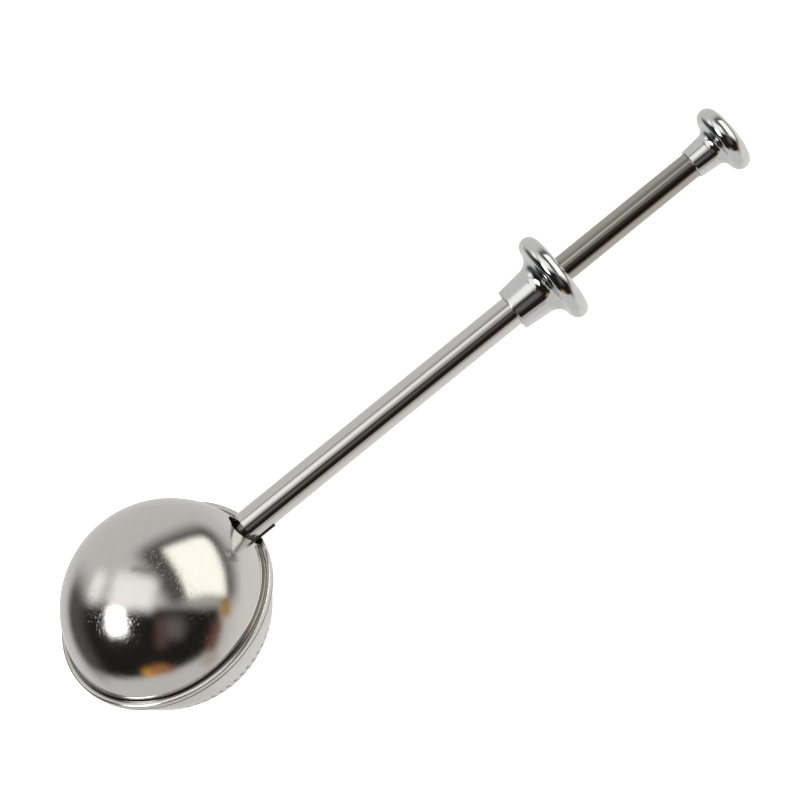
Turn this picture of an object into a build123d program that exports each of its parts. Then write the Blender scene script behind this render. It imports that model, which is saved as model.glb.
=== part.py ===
"""Flour and sugar dusting wand: a sprung push handle that opens a two-piece shaker ball.

The origin is the centre of the ball on the plane where its two bowls meet. +X runs along the handle
towards the thumb knob, +Z points into the solid bowl, and the perforated bowl hangs below. All sizes
are in millimetres.

The outer tube, finger flange and perforated bowl are one fixed body. The thumb knob, inner tube,
push rod and solid bowl slide along X as the other. A spring in the tube holds the ball shut.
"""
from build123d import *
from math import cos, degrees, pi, radians, sin, sqrt
import os

# ---- driving dimensions -------------------------------------------------------------------------
SOLID_R = 27.8            # outer radius of the solid bowl's spherical wall
SOLID_DEPTH = 25.9        # from the parting plane to its pole, outside
SIFTER_R = 27.3           # the same for the perforated bowl
SIFTER_DEPTH = 25.2
SHEET = 0.5               # thickness of the stamped bowls
RIM_R = 29.3              # outer radius of the solid bowl's hemmed lip
RIM_BORE_R = 27.65        # inner edge of both rims' faces
LIP_FOOT = 2.7            # height over the parting plane where the solid bowl's wall meets its lip
LIP_TOP = 1.57            # height of the lip's crown
SIFTER_FOOT = 1.8         # the same as LIP_FOOT, for the perforated bowl's flange
PARTING_GAP = 0.1         # from the parting plane to the face of each rim

HOLE_D = 1.1              # perforations
HOLE_PITCH = 2.25         # between rings of perforations, and between the holes of one ring
HOLE_RINGS = 13           # rings around the hole at the pole

NOTCH_R = 4.7             # round-topped notch in the solid bowl that clears the tube

AXIS_Z = 4.1              # height of the handle's axis above the parting plane
TUBE_R = 4.0              # fixed outer tube
TUBE_START = 27.4         # its end at the ball
TUBE_END = 124.6          # its end inside the finger flange
PLUNGER_R = 3.5           # sliding inner tube
PLUNGER_WALL = 0.4
PLUNGER_START = 88.0      # its lower end when the ball is shut
PLUNGER_END = 180.6       # its end inside the thumb knob
RUNNING = 0.08            # radial clearance of the sliding fits

FLANGE_START = 113.6      # mouth of the flange's collar
FLANGE_BACK = 129.4       # face of the flange towards the thumb knob
FLANGE_R = 12.35
KNOB_START = 171.6        # mouth of the knob's collar
KNOB_TOP = 185.0          # thumb pad
KNOB_R = 9.15

ROD_R = 1.5               # push rod between the plunger and the solid bowl
ROD_START = 4.8           # its threaded end inside the ball
ROD_END = PLUNGER_START + 10
SEAT_END = 41.0           # face of the fixed spring seat
SEAT_LENGTH = 5.0
STOP_LENGTH = 3.0         # collar on the rod that stops against the seat
STOP_GAP = 0.1            # left between them with the ball shut
PLUG_HEAD = 1.5           # shoulder of the plunger's plug, which the spring pushes
SPRING_R = 2.6            # to the middle of the wire
SPRING_WIRE = 0.8
SPRING_TURNS = 12
BRACKET_X = 8.0           # plate that joins the rod to the solid bowl
BRACKET_WIDTH = 9.0
BRACKET_SHEET = 1.0
SADDLE_SHEET = 0.45       # trough under the tube's end, welded into the perforated bowl

# ---- sizes that follow from them ----------------------------------------------------------------
SOLID_Z = SOLID_DEPTH - SOLID_R         # height of a bowl's sphere centre over the parting plane
SIFTER_Z = SIFTER_DEPTH - SIFTER_R
TUBE_BORE_R = PLUNGER_R + RUNNING
PLUNGER_BORE_R = PLUNGER_R - PLUNGER_WALL


def on_handle(solid):
    """Lift what was made about the X axis onto the handle's axis."""
    return Pos(0, 0, AXIS_Z) * solid


def rod_along_x(x_start, x_end, radius):
    """A cylinder about the X axis."""
    standing = Cylinder(radius, x_end - x_start, align=(Align.CENTER, Align.CENTER, Align.MIN))
    return Pos(x_start, 0, 0) * Rotation(0, 90, 0) * standing


def pipe_along_x(x_start, x_end, outer_r, inner_r):
    """A tube about the X axis."""
    return rod_along_x(x_start, x_end, outer_r) - rod_along_x(x_start, x_end, inner_r)


def turned(*edges, axis=Axis.X):
    """A solid turned from an outline drawn in the XZ plane."""
    return revolve(Plane.XZ * make_face(Wire(list(edges))), axis)


# ---- the ball -----------------------------------------------------------------------------------
def at_angle(centre, radius, angle):
    """The point of a circle at an angle in degrees above the horizontal."""
    return centre[0] + radius * cos(radians(angle)), centre[1] + radius * sin(radians(angle))


def at_height(centre, radius, height):
    """The point of a circle at a height, on its outer side."""
    return sqrt(radius**2 - (height - centre[1]) ** 2), height


def stamped_bowl(sphere_r, depth, foot_height, lip):
    """A bowl standing on the parting plane: a spherical wall that ends at foot_height, and the lip below
    it. The last edge of the lip ends at the rim's face."""
    sphere = (0, depth - sphere_r)
    bore_r = sphere_r - SHEET
    mouth = at_height(sphere, bore_r, 0.8)
    pole, inner_pole = (0, depth), (0, depth - SHEET)
    return turned(
        ThreePointArc(pole, at_angle(sphere, sphere_r, 45), at_height(sphere, sphere_r, foot_height)),
        *lip,
        Line((RIM_BORE_R, PARTING_GAP), mouth),
        ThreePointArc(mouth, at_angle(sphere, bore_r, 45), inner_pole),
        Line(inner_pole, pole),
        axis=Axis.Z,
    )


def solid_lip():
    """From the foot out: a small step, a hollow groove, a crowned top and an upright hemmed edge."""
    foot = at_height((0, SOLID_Z), SOLID_R, LIP_FOOT)
    step, wall = (foot[0] + 0.1, LIP_FOOT - 0.08), (foot[0] + 0.1, LIP_FOOT - 0.4)
    groove, top = (RIM_R - 1.25, LIP_TOP - 0.15), (RIM_R - 0.22, LIP_TOP - 0.18)
    edge, heel = (RIM_R, LIP_TOP - 0.46), (RIM_R, PARTING_GAP + 0.1)
    return (
        Line(foot, step),
        Line(step, wall),
        ThreePointArc(wall, (wall[0] + 0.17, wall[1] - 0.49), groove),
        ThreePointArc(groove, (RIM_R - 0.75, LIP_TOP), top),
        ThreePointArc(top, (RIM_R - 0.07, LIP_TOP - 0.28), edge),
        Line(edge, heel),
        Line(heel, (RIM_R - 0.1, PARTING_GAP)),
        Line((RIM_R - 0.1, PARTING_GAP), (RIM_BORE_R, PARTING_GAP)),
    )


def sifter_lip():
    """A plain flange with rounded edges, faired into the wall."""
    foot = at_height((0, SIFTER_Z), SIFTER_R, SIFTER_FOOT)
    edge_r = RIM_R - 0.2
    under, over = (edge_r - 0.15, 0.9), (edge_r - 0.2, PARTING_GAP)
    return (
        ThreePointArc(foot, (foot[0] + 0.5, 1.25), under),
        ThreePointArc(under, (edge_r - 0.04, 0.84), (edge_r, 0.7)),
        Line((edge_r, 0.7), (edge_r, PARTING_GAP + 0.2)),
        ThreePointArc((edge_r, PARTING_GAP + 0.2), (edge_r - 0.06, PARTING_GAP + 0.06), over),
        Line(over, (RIM_BORE_R, PARTING_GAP)),
    )


def solid_bowl():
    """The plain bowl, with a round-topped notch in its rim that clears the handle tube."""
    arch = rod_along_x(SOLID_R - 6, RIM_R + 1, NOTCH_R)
    hanging = (Align.MIN, Align.CENTER, Align.MAX)
    below = Pos(SOLID_R - 6, 0, 0) * Box(8, 2 * NOTCH_R, AXIS_Z + 1, align=hanging)
    return stamped_bowl(SOLID_R, SOLID_DEPTH, LIP_FOOT, solid_lip()) - on_handle(arch + below)


def drills():
    """Radial drills for the rings of perforations around the pole."""
    placed = []
    for ring in range(HOLE_RINGS + 1):
        polar = ring * HOLE_PITCH / SIFTER_R
        count = max(1, round(2 * pi * SIFTER_R * sin(polar) / HOLE_PITCH))
        for hole in range(count):
            turn = Rotation(0, 0, 360 * hole / count) * Rotation(0, degrees(polar), 0)
            place = Pos(0, 0, SIFTER_Z) * turn * Pos(0, 0, SIFTER_R)
            placed.append(place * Cylinder(HOLE_D / 2, 3))
    return placed


def perforated_bowl():
    """The sifting bowl: a like stamping turned over and pierced, dented where the saddle lies."""
    upright = stamped_bowl(SIFTER_R, SIFTER_DEPTH, SIFTER_FOOT, sifter_lip())
    sifter = mirror(upright - drills(), Plane.XY)
    return sifter - on_handle(rod_along_x(TUBE_START - 2, TUBE_START + 5, TUBE_R + SADDLE_SHEET))


def tube_saddle():
    """A half trough under the tube's end, with a strap down the inside of the perforated bowl."""
    start, end = TUBE_START - 1.6, TUBE_START + 6.3
    hanging = (Align.CENTER, Align.CENTER, Align.MAX)
    trough = pipe_along_x(start, end, TUBE_R + SADDLE_SHEET, TUBE_R)
    lower_arc = Pos((start + end) / 2, 0, -TUBE_R / 2) * Box(end - start, 10, 4, align=hanging)
    wall = Sphere(SIFTER_R - SHEET) - Sphere(SIFTER_R - SHEET - 0.6)
    strap = Pos(0, 0, -SIFTER_Z) * wall & Pos(26, 0, 0.5) * Box(4, 6, 9.5, align=hanging)
    clear = on_handle(rod_along_x(start - 3, end, TUBE_R))
    return on_handle(trough & lower_arc) + (strap - clear)


# ---- the fixed handle ---------------------------------------------------------------------------
def handle_tube():
    return on_handle(pipe_along_x(TUBE_START, TUBE_END, TUBE_R, TUBE_BORE_R))


def spring_seat():
    """A plug fixed in the tube, bored for the push rod. The spring stands on it."""
    return on_handle(pipe_along_x(SEAT_END - SEAT_LENGTH, SEAT_END, TUBE_BORE_R, ROD_R + RUNNING))


def guide_bush():
    """The plain bearing at the back of the flange, which the plunger slides in."""
    return on_handle(pipe_along_x(TUBE_END, FLANGE_BACK - 0.8, TUBE_R + 1, PLUNGER_R + RUNNING))


def finger_flange():
    """A trumpet-shaped collar with a full round edge, which two fingers hook over."""
    mouth_r, throat, edge = 5.75, (FLANGE_START + 7, 6.4), (FLANGE_BACK - 5, 10.2)
    hollow = at_angle((throat[0], edge[1]), edge[0] - throat[0], -45)
    back = (FLANGE_BACK, edge[1])
    bush_r, bush_end = TUBE_R + 1, FLANGE_BACK - 0.8
    body = turned(
        Line((FLANGE_START, TUBE_R + 0.7), (FLANGE_START, mouth_r - 0.3)),
        ThreePointArc((FLANGE_START, mouth_r - 0.3), (FLANGE_START + 0.09, mouth_r - 0.09),
                      (FLANGE_START + 0.3, mouth_r)),
        Line((FLANGE_START + 0.3, mouth_r), throat),
        ThreePointArc(throat, hollow, edge),
        ThreePointArc(edge, ((edge[0] + back[0]) / 2, FLANGE_R), back),
        ThreePointArc(back, (bush_end + 0.1, 7.6), (bush_end + 0.3, bush_r)),
        Line((bush_end + 0.3, bush_r), (TUBE_END, bush_r)),
        Line((TUBE_END, bush_r), (TUBE_END, TUBE_R)),
        Line((TUBE_END, TUBE_R), (FLANGE_START + 1.5, TUBE_R)),
        Line((FLANGE_START + 1.5, TUBE_R), (FLANGE_START, TUBE_R + 0.7)),
    )
    return on_handle(body)


# ---- the sliding plunger ------------------------------------------------------------------------
def plunger_tube():
    return on_handle(pipe_along_x(PLUNGER_START, PLUNGER_END, PLUNGER_R, PLUNGER_BORE_R))


def thumb_knob():
    """A smaller trumpet with a closed crown, pushed over the end of the plunger."""
    mouth_r, throat, edge = 4.0, (KNOB_START + 5.2, 4.45), (KNOB_TOP - 5.45, 7.1)
    hollow = at_angle((throat[0], edge[1]), edge[0] - throat[0], -45)
    shoulder, pad = (KNOB_TOP - 0.45, edge[1]), (KNOB_TOP, 4.6)
    stud_end = PLUNGER_END + 2.6
    body = turned(
        Line((KNOB_START, PLUNGER_R), (KNOB_START, mouth_r - 0.2)),
        Line((KNOB_START, mouth_r - 0.2), (KNOB_START + 0.2, mouth_r)),
        Line((KNOB_START + 0.2, mouth_r), throat),
        ThreePointArc(throat, hollow, edge),
        ThreePointArc(edge, ((edge[0] + shoulder[0]) / 2, KNOB_R), shoulder),
        ThreePointArc(shoulder, (KNOB_TOP - 0.13, 5.9), pad),
        Line(pad, (KNOB_TOP, 0)),
        Line((KNOB_TOP, 0), (stud_end, 0)),
        Line((stud_end, 0), (stud_end, ROD_R + 0.5)),
        Line((stud_end, ROD_R + 0.5), (PLUNGER_END, ROD_R + 0.5)),
        Line((PLUNGER_END, ROD_R + 0.5), (PLUNGER_END, PLUNGER_R)),
        Line((PLUNGER_END, PLUNGER_R), (KNOB_START, PLUNGER_R)),
    )
    return on_handle(body)


def knob_stud():
    """The plug in the plunger's end, whose stud holds the knob."""
    plug = rod_along_x(PLUNGER_END - 8, PLUNGER_END, PLUNGER_BORE_R)
    return on_handle(plug + rod_along_x(PLUNGER_END, PLUNGER_END + 2.4, ROD_R + 0.5))


def plunger_plug():
    """The plug in the plunger's lower end, which holds the rod and meets the spring."""
    plug = pipe_along_x(PLUNGER_START, PLUNGER_START + 8, PLUNGER_BORE_R, ROD_R)
    return on_handle(plug + pipe_along_x(PLUNGER_START - PLUG_HEAD, PLUNGER_START, PLUNGER_R, ROD_R))


def push_rod():
    return on_handle(rod_along_x(ROD_START, ROD_END, ROD_R))


def stop_collar():
    """The collar on the rod that meets the spring seat when the ball is shut."""
    stop_end = SEAT_END - SEAT_LENGTH - STOP_GAP
    return on_handle(pipe_along_x(stop_end - STOP_LENGTH, stop_end, TUBE_BORE_R - 0.5, ROD_R))


def rod_bracket():
    """An upright plate on the rod, with a foot welded along the inside of the solid bowl."""
    inside = Pos(0, 0, SOLID_Z) * Sphere(SOLID_R - SHEET)
    foot_skin = inside - Pos(0, 0, SOLID_Z) * Sphere(SOLID_R - SHEET - BRACKET_SHEET)
    tall = (Align.MIN, Align.CENTER, Align.MIN)
    plate = Pos(BRACKET_X, 0, 1.2) * Box(BRACKET_SHEET, BRACKET_WIDTH, SOLID_DEPTH, align=tall)
    foot = Pos(BRACKET_X - 7, 0, SOLID_DEPTH / 2) * Box(8, BRACKET_WIDTH, SOLID_DEPTH, align=tall)
    bracket = (plate & inside) + (foot & foot_skin)
    return bracket - on_handle(rod_along_x(BRACKET_X - 1, BRACKET_X + 2, ROD_R))


def bracket_nuts():
    """Two hexagon nuts on the rod's thread, one on each side of the bracket."""
    blank = Plane.YZ * RegularPolygon(2.75, 6, major_radius=False, rotation=30)
    nut = extrude(blank, 2.4) - rod_along_x(-1, 4, ROD_R)
    return on_handle(Compound([Pos(x, 0, 0) * nut for x in (BRACKET_X - 2.4, BRACKET_X + BRACKET_SHEET)]))


def return_spring():
    """The compression spring around the rod, drawn at its length with the ball shut."""
    start = SEAT_END + SPRING_WIRE / 2
    length = PLUNGER_START - PLUG_HEAD - SPRING_WIRE / 2 - start
    path = Helix(pitch=length / SPRING_TURNS, height=length, radius=SPRING_R)
    wire = Plane(origin=path @ 0, z_dir=path % 0) * Circle(SPRING_WIRE / 2)
    return on_handle(Pos(start, 0, 0) * Rotation(0, 90, 0) * sweep(wire, path=path))


SUB_PARTS = [
    handle_tube, finger_flange, guide_bush, spring_seat, tube_saddle, perforated_bowl,
    thumb_knob, knob_stud, plunger_tube, plunger_plug, push_rod, stop_collar,
    rod_bracket, bracket_nuts, solid_bowl, return_spring,
]

os.makedirs("parts", exist_ok=True)
for sub_part in SUB_PARTS:
    export_step(sub_part(), f"parts/{sub_part.__name__}.step")
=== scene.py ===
"""Looks of the dusting wand: stainless materials, a pale studio and the camera. Lengths are in metres, and
the sizes of the turned shapes in millimetres."""
import bpy
from math import cos, radians, sin
from mathutils import Matrix, Vector
import numpy as np


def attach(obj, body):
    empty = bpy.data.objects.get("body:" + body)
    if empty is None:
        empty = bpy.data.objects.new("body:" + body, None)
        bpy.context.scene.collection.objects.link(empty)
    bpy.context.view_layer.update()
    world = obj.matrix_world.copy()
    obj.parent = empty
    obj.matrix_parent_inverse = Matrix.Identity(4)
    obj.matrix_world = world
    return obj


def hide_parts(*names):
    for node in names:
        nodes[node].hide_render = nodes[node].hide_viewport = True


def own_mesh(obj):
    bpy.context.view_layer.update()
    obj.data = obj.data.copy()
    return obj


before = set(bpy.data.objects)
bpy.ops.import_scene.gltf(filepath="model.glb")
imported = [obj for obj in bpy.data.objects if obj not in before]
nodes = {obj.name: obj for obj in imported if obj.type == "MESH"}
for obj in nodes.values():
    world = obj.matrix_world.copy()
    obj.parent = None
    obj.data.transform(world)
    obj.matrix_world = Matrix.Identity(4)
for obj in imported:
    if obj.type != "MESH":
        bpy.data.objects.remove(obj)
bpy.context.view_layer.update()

# ---- the view -----------------------------------------------------------------------------------
VIEW_AIM = Vector((0.07764, 0.00083, 0.00366))
VIEW_AZIMUTH = 2.222
VIEW_ELEVATION = 48.676
VIEW_ROLL = 37.449
VIEW_DISTANCE = 0.828
LENS = 148.64
SENSOR = 36.0

# ---- turned shapes, in millimetres, as the CAD has them -------------------------------------------
SOLID_R, SOLID_DEPTH = 27.8, 25.9
SIFTER_R, SIFTER_DEPTH = 27.3, 25.2
SHEET = 0.5
RIM_R, RIM_BORE_R = 29.3, 27.65
LIP_FOOT, LIP_TOP, SIFTER_FOOT = 2.7, 1.57, 1.8
PARTING_GAP = 0.1
AXIS_Z = 4.1
TUBE_R, PLUNGER_R, ROD_R = 4.0, 3.5, 1.5
TUBE_END, PLUNGER_END = 124.6, 180.6
FLANGE_START, FLANGE_BACK, FLANGE_R = 113.6, 129.4, 12.35
KNOB_START, KNOB_TOP, KNOB_R = 171.6, 185.0, 9.15
CUT_AGREEMENT = 0.8      # a face whose normal agrees less than this with the outline's is a cut through it
ARC_SLACK = 0.01         # radians past an arc's ends that still count as on it

# ---- the studio ---------------------------------------------------------------------------------
FLOOR_Z = -0.0252        # just under the ball
FLOOR_SIZE = 6.0


def view_frame():
    """The camera's axes in columns: right, up and towards the camera."""
    turn = Matrix.Rotation(radians(-VIEW_AZIMUTH), 3, "Z")
    tilt = Matrix.Rotation(radians(90 - VIEW_ELEVATION), 3, "X")
    roll = Matrix.Rotation(radians(-VIEW_ROLL), 3, "Z")
    return turn @ tilt @ roll


def add_camera():
    data = bpy.data.cameras.new("camera")
    data.lens = LENS
    data.sensor_width = SENSOR
    data.clip_start = 0.01
    camera = bpy.data.objects.new("camera", data)
    bpy.context.scene.collection.objects.link(camera)
    axes = view_frame()
    placed = axes.to_4x4()
    placed.translation = VIEW_AIM + axes @ Vector((0, 0, VIEW_DISTANCE))
    camera.matrix_world = placed
    bpy.context.scene.camera = camera


# ---- node helpers -------------------------------------------------------------------------------
class Graph:
    """Short hands for building a node tree."""

    def __init__(self, tree):
        self.tree = tree
        tree.nodes.clear()

    def node(self, kind, **settings):
        made = self.tree.nodes.new(kind)
        for name, value in settings.items():
            setattr(made, name, value)
        return made

    def plug(self, socket, value):
        """Link an output into a socket, or set the socket's own value."""
        if isinstance(value, bpy.types.NodeSocket):
            self.tree.links.new(value, socket)
        else:
            socket.default_value = value

    def math(self, operation, *values, clamp=False):
        made = self.node("ShaderNodeMath", operation=operation, use_clamp=clamp)
        for socket, value in zip(made.inputs, values):
            self.plug(socket, value)
        return made.outputs[0]

    def dot(self, vector, axis):
        made = self.node("ShaderNodeVectorMath", operation="DOT_PRODUCT")
        self.plug(made.inputs[0], vector)
        made.inputs[1].default_value = axis
        return made.outputs["Value"]

    def ramp(self, value, low, high, to_low=0.0, to_high=1.0, smooth=False):
        made = self.node("ShaderNodeMapRange", clamp=True)
        made.interpolation_type = "SMOOTHSTEP" if smooth else "LINEAR"
        for socket, given in zip(made.inputs, (value, low, high, to_low, to_high)):
            self.plug(socket, given)
        return made.outputs[0]

    def mix(self, factor, first, second):
        made = self.node("ShaderNodeMix", data_type="RGBA")
        self.plug(made.inputs[0], factor)
        self.plug(made.inputs[6], first)
        self.plug(made.inputs[7], second)
        return made.outputs[2]

    def noise(self, vector, scale, detail=2.0, roughness=0.5):
        made = self.node("ShaderNodeTexNoise")
        self.plug(made.inputs["Vector"], vector)
        made.inputs["Scale"].default_value = scale
        made.inputs["Detail"].default_value = detail
        made.inputs["Roughness"].default_value = roughness
        return made.outputs["Fac"]

    def stretched(self, vector, scale):
        made = self.node("ShaderNodeMapping")
        self.plug(made.inputs["Vector"], vector)
        made.inputs["Scale"].default_value = scale
        return made.outputs["Vector"]

    def bump(self, height, distance, strength=1.0, normal=None):
        made = self.node("ShaderNodeBump")
        made.inputs["Strength"].default_value = strength
        made.inputs["Distance"].default_value = distance
        self.plug(made.inputs["Height"], height)
        if normal is not None:
            self.plug(made.inputs["Normal"], normal)
        return made.outputs["Normal"]


# ---- the studio's light -------------------------------------------------------------------------
def panel_mask(graph, direction, axes, heading, pitch, box, soft):
    """A soft-edged panel on the sky. heading and pitch give its centre in degrees from the view's own
    direction, box its left, right, lower and upper edges in degrees from that centre."""
    centre = Vector((cos(radians(pitch)) * sin(radians(heading)), sin(radians(pitch)),
                     cos(radians(pitch)) * cos(radians(heading))))
    across = Vector((0, 1, 0)).cross(centre).normalized()
    upward = centre.cross(across)
    ahead = graph.dot(direction, axes @ centre)
    sideways = graph.dot(direction, axes @ across)
    height = graph.dot(direction, axes @ upward)
    turned = graph.math("DEGREES", graph.math("ARCTAN2", sideways, ahead))
    raised = graph.math("DEGREES", graph.math("ARCSINE", height))
    left, right, low, high = box
    mask = None
    for value, start, end in ((turned, left, right), (raised, low, high)):
        for edge, inward in ((start, 1), (end, -1)):
            side = graph.ramp(value, edge - inward * soft, edge + inward * soft, smooth=True)
            mask = side if mask is None else graph.math("MULTIPLY", mask, side)
    return mask


def dark_mask(graph, direction, axes):
    """The dark side of the room: an oval round the lower side of the view, cut off level above."""
    turned = graph.math("DEGREES", graph.math("ARCTAN2", graph.dot(direction, axes.col[0]),
                                              graph.dot(direction, axes.col[2])))
    raised = graph.math("DEGREES", graph.math("ARCSINE", graph.dot(direction, axes.col[1])))
    oval = None
    for value, middle, half in ((turned, -33, 90), (raised, -5, 61)):
        part = graph.math("DIVIDE", graph.math("ABSOLUTE", graph.math("SUBTRACT", value, middle)), half)
        part = graph.math("POWER", part, 2.6)
        oval = part if oval is None else graph.math("ADD", oval, part)
    inside = graph.ramp(oval, 1.2, 0.82, smooth=True)
    return graph.math("MULTIPLY", inside, graph.ramp(raised, 13, -3, smooth=True))


def add_studio():
    world = bpy.data.worlds.new("studio")
    bpy.context.scene.world = world
    world.use_nodes = True
    graph = Graph(world.node_tree)
    direction = graph.node("ShaderNodeTexCoord").outputs["Generated"]
    axes = view_frame()
    sky = (0.74, 0.73, 0.71, 1)
    panels = (
        # heading, pitch, box, softness, colour
        (0, 0, (74, 160, -50, 40), 14, (0.92, 0.90, 0.88, 1)),           # brighter wall to the right
        (0, 0, (-128, -100, -40, 14), 12, (0.10, 0.10, 0.10, 1)),
        (0, 0, (-4, 18, -28, -6), 8, (0.17, 0.15, 0.145, 1)),
        (-30, -64, (-9, 13, -4, 5), 4, (0.85, 0.42, 0.05, 1)),          # warm things around the table
        (-14, -62, (-8, 10, -5, 4), 5, (0.42, 0.16, 0.08, 1)),
        (62, 5, (-5, 6, -11, 10), 5, (0.50, 0.28, 0.05, 1)),
        (54, -24, (-6, 5, -17, 14), 6, (0.22, 0.09, 0.06, 1)),
        (57, -47, (-6, 8, -6, 6), 6, (0.56, 0.48, 0.38, 1)),
        (-7, -24, (-4, 5, -14, 18), 6, (0.14, 0.08, 0.07, 1)),
        (42, 47.6, (-46, 38, -34, 40), 11, (0.11, 0.105, 0.095, 1)),     # dark frame around the softbox
        (42, 47.6, (-22, 25, -32, 27), 4.5, (1.62, 1.58, 1.44, 1)),     # the softbox
        (-42, 18, (-20, 27, -16, 17), 8, (1.3, 1.28, 1.24, 1)),         # a paler reflector
        (-33, 41, (-12, 10, -2.5, 2.5), 3, (0.30, 0.29, 0.27, 1)),
        (-84, 17, (-8, 8, -11, 11), 7, (1.3, 1.28, 1.24, 1)),
        (-55, -10, (-9, 9, -10, 10), 6, (8.0, 8.0, 8.0, 1)),            # the key lamp
    )
    colour = graph.mix(dark_mask(graph, direction, axes), sky, (0.017, 0.0165, 0.016, 1))
    for heading, pitch, box, soft, shade in panels:
        mask = panel_mask(graph, direction, axes, heading, pitch, box, soft)
        colour = graph.mix(mask, colour, shade)
    background = graph.node("ShaderNodeBackground")
    graph.plug(background.inputs["Color"], colour)
    output = graph.node("ShaderNodeOutputWorld")
    graph.plug(output.inputs["Surface"], background.outputs[0])


def add_floor():
    half = FLOOR_SIZE / 2
    mesh = bpy.data.meshes.new("floor")
    corners = [(x * half, y * half, FLOOR_Z) for x, y in ((-1, -1), (1, -1), (1, 1), (-1, 1))]
    mesh.from_pydata(corners, [], [(0, 1, 2, 3)])
    floor = bpy.data.objects.new("floor", mesh)
    bpy.context.scene.collection.objects.link(floor)
    floor.visible_glossy = False
    material = bpy.data.materials.new("floor")
    material.use_nodes = True
    shader = material.node_tree.nodes["Principled BSDF"]
    shader.inputs["Base Color"].default_value = (0.85, 0.85, 0.85, 1)
    shader.inputs["Roughness"].default_value = 0.7
    shader.inputs["Emission Color"].default_value = (1, 1, 1, 1)
    shader.inputs["Emission Strength"].default_value = 0.75
    mesh.materials.append(material)


# ---- true curvature -----------------------------------------------------------------------------
def span(start, end, through=None):
    """One stretch of a turned outline, in millimetres as (radius, height along the axis): a straight line,
    or the arc that passes through a third point. An arc also has its centre and radius."""
    start, end = np.array(start, float), np.array(end, float)
    if through is None:
        return start, end, None, 0.0
    middle = np.array(through, float)
    sides = 2 * np.array([middle - start, end - start])
    squares = np.array([middle @ middle - start @ start, end @ end - start @ start])
    centre = np.linalg.solve(sides, squares)
    return start, end, centre, float(np.linalg.norm(start - centre))


def gap_to(points, piece):
    """How far points are from a stretch of outline."""
    start, end, centre, radius = piece
    chord = end - start
    along = np.clip((points - start) @ chord / (chord @ chord), 0, 1)
    straight = np.linalg.norm(points - start - along[:, None] * chord, axis=1)
    if centre is None:
        return straight
    bow = np.arctan2(*(start - centre)[::-1]), np.arctan2(*(end - centre)[::-1])
    turn = (bow[1] - bow[0] + np.pi) % (2 * np.pi) - np.pi
    angle = np.arctan2(points[:, 1] - centre[1], points[:, 0] - centre[0])
    here = ((angle - bow[0] + np.pi) % (2 * np.pi) - np.pi) * np.sign(turn)
    inside = (here > -ARC_SLACK) & (here < abs(turn) + ARC_SLACK)
    ends = np.minimum(np.linalg.norm(points - start, axis=1), np.linalg.norm(points - end, axis=1))
    return np.where(inside, abs(np.linalg.norm(points - centre, axis=1) - radius), ends)


def read(elements, attribute, width=3, kind=float):
    """One attribute of a mesh's elements, with a row for each element."""
    values = np.empty(len(elements) * width, kind)
    elements.foreach_get(attribute, values)
    return values.reshape(-1, width) if width > 1 else values


def section(points):
    """Points of a turned shape as (radius, height along the axis)."""
    return np.column_stack([np.hypot(points[:, 0], points[:, 1]), points[:, 2]])


def turned_normals(points, nearest, outline):
    """The outline's normals at points on it. nearest gives the number of each point's stretch."""
    places = section(points)
    outward = points[:, :2] / np.maximum(places[:, :1], 1e-6)
    normals = np.empty((len(points), 3))
    for index, (start, end, centre, radius) in enumerate(outline):
        mine = nearest == index
        if centre is None:
            lean = np.array([end[1] - start[1], start[0] - end[0]]) / np.linalg.norm(end - start)
            lean = np.repeat(lean[None], mine.sum(), axis=0)
        else:
            lean = (places[mine] - centre) / radius
        normals[mine] = np.column_stack([outward[mine] * lean[:, :1], lean[:, 1]])
    return normals / np.linalg.norm(normals, axis=1)[:, None]


def stand_in(name, suffix, body):
    """A copy of a node's mesh, shown in the node's place."""
    piece = bpy.data.objects.new(name + suffix, nodes[name].data.copy())
    bpy.context.scene.collection.objects.link(piece)
    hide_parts(name)
    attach(piece, body)
    return piece


def smoothed(name, body, outline, along_x=False, cut_material=None, painted_shade_stretches=None):
    """Stand a copy in for a turned node, shaded with the normals of its outline. Faces off the outline,
    such as holes and notches, stay flat and may have a material of their own. The last argument gives some
    stretches of the outline, by number, another material. Both are darker materials of painted shade."""
    mesh = stand_in(name, "_turned", body).data
    points = read(mesh.vertices, "co") * 1000
    centres = read(mesh.polygons, "center") * 1000
    flat = read(mesh.polygons, "normal")
    corners = read(mesh.loops, "vertex_index", 1, int)
    sizes = read(mesh.polygons, "loop_total", 1, int)
    if along_x:
        axis = (0, AXIS_Z, 0)
        points, centres, flat = points[:, [1, 2, 0]] - axis, centres[:, [1, 2, 0]] - axis, flat[:, [1, 2, 0]]
    owner = np.repeat(np.arange(len(sizes)), sizes)
    nearest = np.argmin([gap_to(section(centres), stretch) for stretch in outline], axis=0)
    normals = turned_normals(points[corners], nearest[owner], outline)
    agreement = np.sum(normals * flat[owner], axis=1)
    normals *= np.sign(agreement)[:, None]
    first_corners = np.concatenate([[0], np.cumsum(sizes)[:-1]])
    cut = np.add.reduceat(abs(agreement), first_corners) / sizes < CUT_AGREEMENT
    normals[cut[owner]] = flat[owner][cut[owner]]
    if along_x:
        normals = normals[:, [2, 0, 1]]
    mesh.polygons.foreach_set("use_smooth", np.ones(len(sizes), bool))
    mesh.normals_split_custom_set(normals)
    painted = [(cut_material, cut)]
    painted += [(material, (nearest == index) & ~cut) for index, material in (painted_shade_stretches or {}).items()]
    finish = np.zeros(len(sizes), int)
    for material, faces in painted:
        if material is not None:
            mesh.materials.append(material)
            finish[faces] = len(mesh.materials) - 1
    mesh.polygons.foreach_set("material_index", finish)
    mesh.update()


def pressed_spring():
    """A copy of the spring, on the plunger's body with a mesh of its own, shown in the spring's place."""
    spring = stand_in("return_spring", "_pressed", "plunger")
    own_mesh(spring)


def on_circle(centre, radius, angle):
    return centre[0] + radius * cos(radians(angle)), centre[1] + radius * sin(radians(angle))


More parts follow.
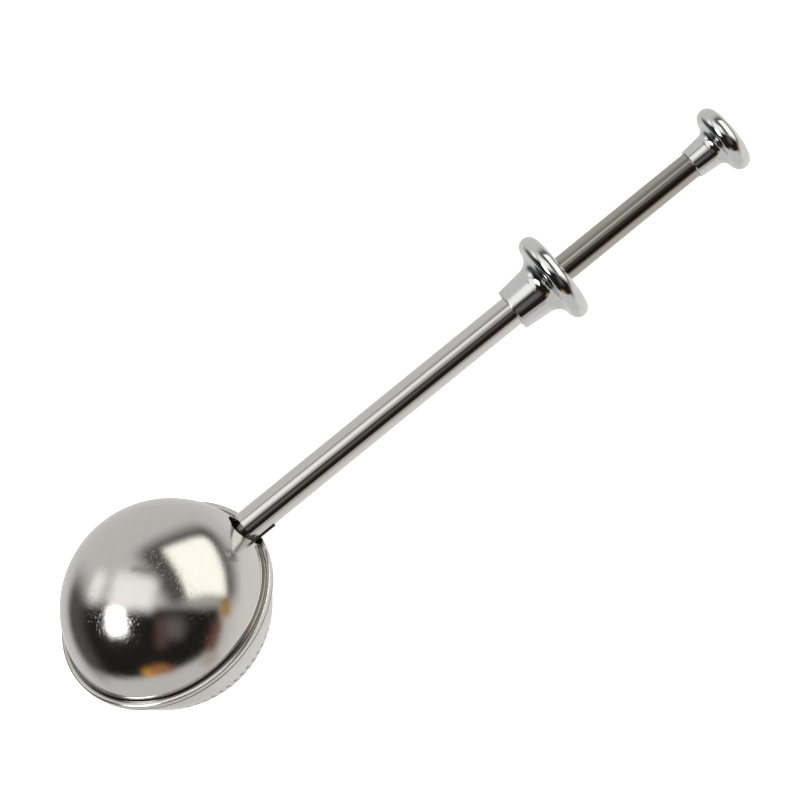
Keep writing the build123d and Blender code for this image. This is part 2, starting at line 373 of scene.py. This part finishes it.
def bowl_outline(sphere_r, depth, foot_height, lip, up):
    """The outline of a bowl from its pole over the lip and back inside. up is -1 for the lower bowl."""
    sphere = (0, depth - sphere_r)
    bore_r = sphere_r - SHEET
    foot = ((sphere_r**2 - (foot_height - sphere[1]) ** 2) ** 0.5, foot_height)
    mouth = ((bore_r**2 - (0.8 - sphere[1]) ** 2) ** 0.5, 0.8)
    rim = (RIM_BORE_R, PARTING_GAP)
    stretches = [((0, depth), foot, on_circle(sphere, sphere_r, 45))] + lip(foot)
    stretches += [(rim, mouth, None), (mouth, (0, depth - SHEET), on_circle(sphere, bore_r, 45))]
    flip = np.array([1, up])
    return [span(a * flip, b * flip, None if m is None else m * flip) for a, b, m in stretches]


def solid_lip(foot):
    step, wall = (foot[0] + 0.1, foot[1] - 0.08), (foot[0] + 0.1, foot[1] - 0.4)
    groove, top = (RIM_R - 1.25, LIP_TOP - 0.15), (RIM_R - 0.22, LIP_TOP - 0.18)
    edge, heel, under = (RIM_R, LIP_TOP - 0.46), (RIM_R, PARTING_GAP + 0.1), (RIM_R - 0.1, PARTING_GAP)
    return [
        (foot, step, None), (step, wall, None),
        (wall, groove, (wall[0] + 0.17, wall[1] - 0.49)),
        (groove, top, (RIM_R - 0.75, LIP_TOP)),
        (top, edge, (RIM_R - 0.07, LIP_TOP - 0.28)),
        (edge, heel, None), (heel, under, None), (under, (RIM_BORE_R, PARTING_GAP), None),
    ]


def sifter_lip(foot):
    edge_r = RIM_R - 0.2
    under, over = (edge_r - 0.15, 0.9), (edge_r - 0.2, PARTING_GAP)
    return [
        (foot, under, (foot[0] + 0.5, 1.25)),
        (under, (edge_r, 0.7), (edge_r - 0.04, 0.84)),
        ((edge_r, 0.7), (edge_r, PARTING_GAP + 0.2), None),
        ((edge_r, PARTING_GAP + 0.2), over, (edge_r - 0.06, PARTING_GAP + 0.06)),
        (over, (RIM_BORE_R, PARTING_GAP), None),
    ]


def flange_outline():
    """The finger flange: collar, hollow throat, round edge and dished back."""
    start, mouth_r = FLANGE_START, 5.75
    throat, edge, back = (6.4, start + 7), (10.2, FLANGE_BACK - 5), (10.2, FLANGE_BACK)
    bush_r, bush_end = TUBE_R + 1, FLANGE_BACK - 0.8
    stretches = [
        ((TUBE_R + 0.7, start), (mouth_r - 0.3, start), None),
        ((mouth_r - 0.3, start), (mouth_r, start + 0.3), (mouth_r - 0.09, start + 0.09)),
        ((mouth_r, start + 0.3), throat, None),
        (throat, edge, on_circle((edge[0], throat[1]), edge[1] - throat[1], 135)),
        (edge, back, (FLANGE_R, (edge[1] + back[1]) / 2)),
        (back, (bush_r, bush_end + 0.3), (7.6, bush_end + 0.1)),
        ((bush_r, bush_end + 0.3), (bush_r, TUBE_END), None),
        ((bush_r, TUBE_END), (TUBE_R, TUBE_END), None),
        ((TUBE_R, TUBE_END), (TUBE_R, start + 1.5), None),
        ((TUBE_R, start + 1.5), (TUBE_R + 0.7, start), None),
    ]
    return [span(*stretch) for stretch in stretches]


def knob_outline():
    """The thumb knob: collar, hollow throat, round edge and crown."""
    start, mouth_r = KNOB_START, 4.0
    throat, edge = (4.45, start + 5.2), (7.1, KNOB_TOP - 5.45)
    shoulder, pad = (7.1, KNOB_TOP - 0.45), (4.6, KNOB_TOP)
    stud_r, stud_end = ROD_R + 0.5, PLUNGER_END + 2.6
    stretches = [
        ((PLUNGER_R, start), (mouth_r - 0.2, start), None),
        ((mouth_r - 0.2, start), (mouth_r, start + 0.2), None),
        ((mouth_r, start + 0.2), throat, None),
        (throat, edge, on_circle((edge[0], throat[1]), edge[1] - throat[1], 135)),
        (edge, shoulder, (KNOB_R, (edge[1] + shoulder[1]) / 2)),
        (shoulder, pad, (5.9, KNOB_TOP - 0.13)),
        (pad, (0, KNOB_TOP), None),
        ((0, stud_end), (stud_r, stud_end), None),
        ((stud_r, stud_end), (stud_r, PLUNGER_END), None),
        ((stud_r, PLUNGER_END), (PLUNGER_R, PLUNGER_END), None),
        ((PLUNGER_R, PLUNGER_END), (PLUNGER_R, start), None),
    ]
    return [span(*stretch) for stretch in stretches]


# ---- materials ----------------------------------------------------------------------------------
def start_material(name):
    """A new material, its graph, the coordinates on the object, and the shader that it shows."""
    material = bpy.data.materials.new(name)
    material.use_nodes = True
    graph = Graph(material.node_tree)
    position = graph.node("ShaderNodeTexCoord").outputs["Object"]
    shader = graph.node("ShaderNodeBsdfPrincipled")
    output = graph.node("ShaderNodeOutputMaterial")
    graph.plug(output.inputs["Surface"], shader.outputs[0])
    return material, graph, position, shader


def metal(name, dark, light, roughness, grain):
    """A metal between two shades, with a roughness range. grain(graph, position) returns its normal and
    the mask that moves shade and roughness."""
    material, graph, position, shader = start_material(name)
    shader.inputs["Metallic"].default_value = 1.0
    normal, wear = grain(graph, position)
    graph.plug(shader.inputs["Base Color"], graph.mix(wear, (*dark, 1), (*light, 1)))
    graph.plug(shader.inputs["Roughness"], graph.ramp(wear, 0, 1, *roughness))
    graph.plug(shader.inputs["Normal"], normal)
    return material


def satin_grain(graph, position):
    """Pressed sheet: sparse pits, fine grain, faint buffing marks and slow waves."""
    pits = graph.ramp(graph.noise(position, 2300, 3.0, 0.7), 0.58, 0.75)
    patches = graph.ramp(graph.noise(position, 130, 2.0), 0.35, 0.65)
    grain = graph.noise(position, 5200, 2.0, 0.6)
    buffed = graph.noise(graph.stretched(position, (700, 700, 5200)), 1.0, 2.0)
    waves = graph.noise(position, 70, 2.0)
    normal = graph.bump(waves, 0.0004, 0.3)
    normal = graph.bump(buffed, 0.000012, 0.6, normal)
    normal = graph.bump(grain, 0.000008, 0.7, normal)
    normal = graph.bump(graph.math("MULTIPLY", pits, patches), 0.000015, 1.0, normal)
    stains = graph.noise(position, 320, 4.0, 0.6)
    wear = graph.math("MULTIPLY_ADD", stains, 0.7, graph.math("MULTIPLY", pits, 0.3))
    return normal, wear


def drawn_grain(graph, position):
    """Tube drawn along X: hairlines along it, and a little unevenness."""
    lines = graph.noise(graph.stretched(position, (26, 4200, 4200)), 1.0, 3.0, 0.6)
    waves = graph.noise(graph.stretched(position, (40, 160, 160)), 1.0, 2.0)
    normal = graph.bump(waves, 0.0001, 0.25)
    normal = graph.bump(lines, 0.000004, 0.6, normal)
    return normal, lines


def polished_grain(graph, position):
    """Buffed fitting: nearly a mirror, with faint waves and hairlines."""
    waves = graph.noise(position, 150, 2.0)
    hairs = graph.noise(graph.stretched(position, (5200, 900, 900)), 1.0, 3.0, 0.6)
    normal = graph.bump(waves, 0.0001, 0.2)
    normal = graph.bump(hairs, 0.000004, 0.5, normal)
    return normal, hairs


def turned_grain(graph, position):
    """Plain turned or folded steel: tool marks and dull spots."""
    marks = graph.noise(graph.stretched(position, (3600, 700, 700)), 1.0, 3.0, 0.6)
    spots = graph.noise(position, 700, 4.0, 0.6)
    normal = graph.bump(marks, 0.00002, 0.6)
    normal = graph.bump(spots, 0.00001, 0.5, normal)
    return normal, spots


def wire_grain(graph, position):
    """Drawn spring wire with a dull oxide mottle."""
    mottle = graph.noise(position, 1500, 4.0, 0.65)
    return graph.bump(mottle, 0.00002, 0.6), mottle


def plastic(name):
    """Moulded black acetal with a fine matt texture."""
    material, graph, position, shader = start_material(name)
    texture = graph.noise(position, 2200, 3.0, 0.6)
    shade = graph.noise(position, 240, 3.0)
    dark, light = (0.010, 0.010, 0.011, 1), (0.022, 0.022, 0.023, 1)
    graph.plug(shader.inputs["Base Color"], graph.mix(shade, dark, light))
    graph.plug(shader.inputs["Roughness"], graph.ramp(texture, 0.3, 0.7, 0.34, 0.52))
    graph.plug(shader.inputs["Normal"], graph.bump(texture, 0.00002, 0.6))
    return material


def dress():
    """Give each node the finish of its slot."""
    satin = metal("satin_steel", (0.585, 0.575, 0.555), (0.665, 0.655, 0.635), (0.09, 0.17), satin_grain)
    tube = metal("polished_tube", (0.60, 0.59, 0.575), (0.68, 0.67, 0.655), (0.035, 0.09), drawn_grain)
    plunger = metal("plunger_steel", (0.37, 0.355, 0.32), (0.45, 0.435, 0.395), (0.05, 0.12), drawn_grain)
    chrome = metal("chrome", (0.60, 0.612, 0.625), (0.67, 0.682, 0.695), (0.01, 0.035), polished_grain)
    plain = metal("plain_steel", (0.22, 0.215, 0.205), (0.36, 0.35, 0.335), (0.28, 0.45), turned_grain)
    wire = metal("spring_wire", (0.28, 0.275, 0.27), (0.44, 0.435, 0.425), (0.22, 0.38), wire_grain)
    black = plastic("bearing_plastic")
    finishes = {
        satin: ("solid_bowl", "perforated_bowl"),
        tube: ("handle_tube",),
        plunger: ("plunger_tube",),
        chrome: ("finger_flange", "thumb_knob"),
        plain: ("tube_saddle", "spring_seat", "knob_stud", "plunger_plug", "push_rod", "stop_collar",
                "rod_bracket", "bracket_nuts"),
        wire: ("return_spring",),
        black: ("guide_bush",),
    }
    for material, names in finishes.items():
        for name in names:
            for slot in nodes[name].material_slots:
                slot.material = material


def show_turned():
    """The two bowls and the two chromed fittings, with smooth reflections. Darker materials paint shade on the
    solid lip's groove, the faces at the parting plane, the sifter's inside and the walls of the sifter's
    holes."""
    # Painted shade, near black: the walls of the sifter's holes and the faces at the parting plane are
    # coloured dark so the holes and the gap between the bowls look shaded.
    black_shade = metal("painted_black_shade", (0.02, 0.02, 0.018), (0.05, 0.048, 0.045), (0.5, 0.7), turned_grain)
    # Painted shade inside the sifter: a darker colour so the inside of the ball looks shaded, on a rougher
    # finish.
    inside = metal("painted_inside_shade", (0.14, 0.135, 0.125), (0.24, 0.235, 0.22), (0.26, 0.42), turned_grain)
    # Painted shade in the solid lip's groove: a darker colour where the recess would be shaded.
    groove = metal("painted_groove_shade", (0.20, 0.19, 0.175), (0.32, 0.305, 0.285), (0.10, 0.20), satin_grain)
    solid = bowl_outline(SOLID_R, SOLID_DEPTH, LIP_FOOT, solid_lip, 1)
    sifter = bowl_outline(SIFTER_R, SIFTER_DEPTH, SIFTER_FOOT, sifter_lip, -1)
    smoothed("solid_bowl", "plunger", solid, painted_shade_stretches={3: groove, 7: black_shade, 8: black_shade})
    smoothed("perforated_bowl", "handle", sifter, cut_material=black_shade,
             painted_shade_stretches={4: black_shade, 5: black_shade, 7: inside})
    smoothed("finger_flange", "handle", flange_outline(), along_x=True)
    smoothed("thumb_knob", "plunger", knob_outline(), along_x=True)


dress()
show_turned()
pressed_spring()
add_studio()
add_floor()
add_camera()
bpy.context.scene.view_settings.view_transform = "Standard"
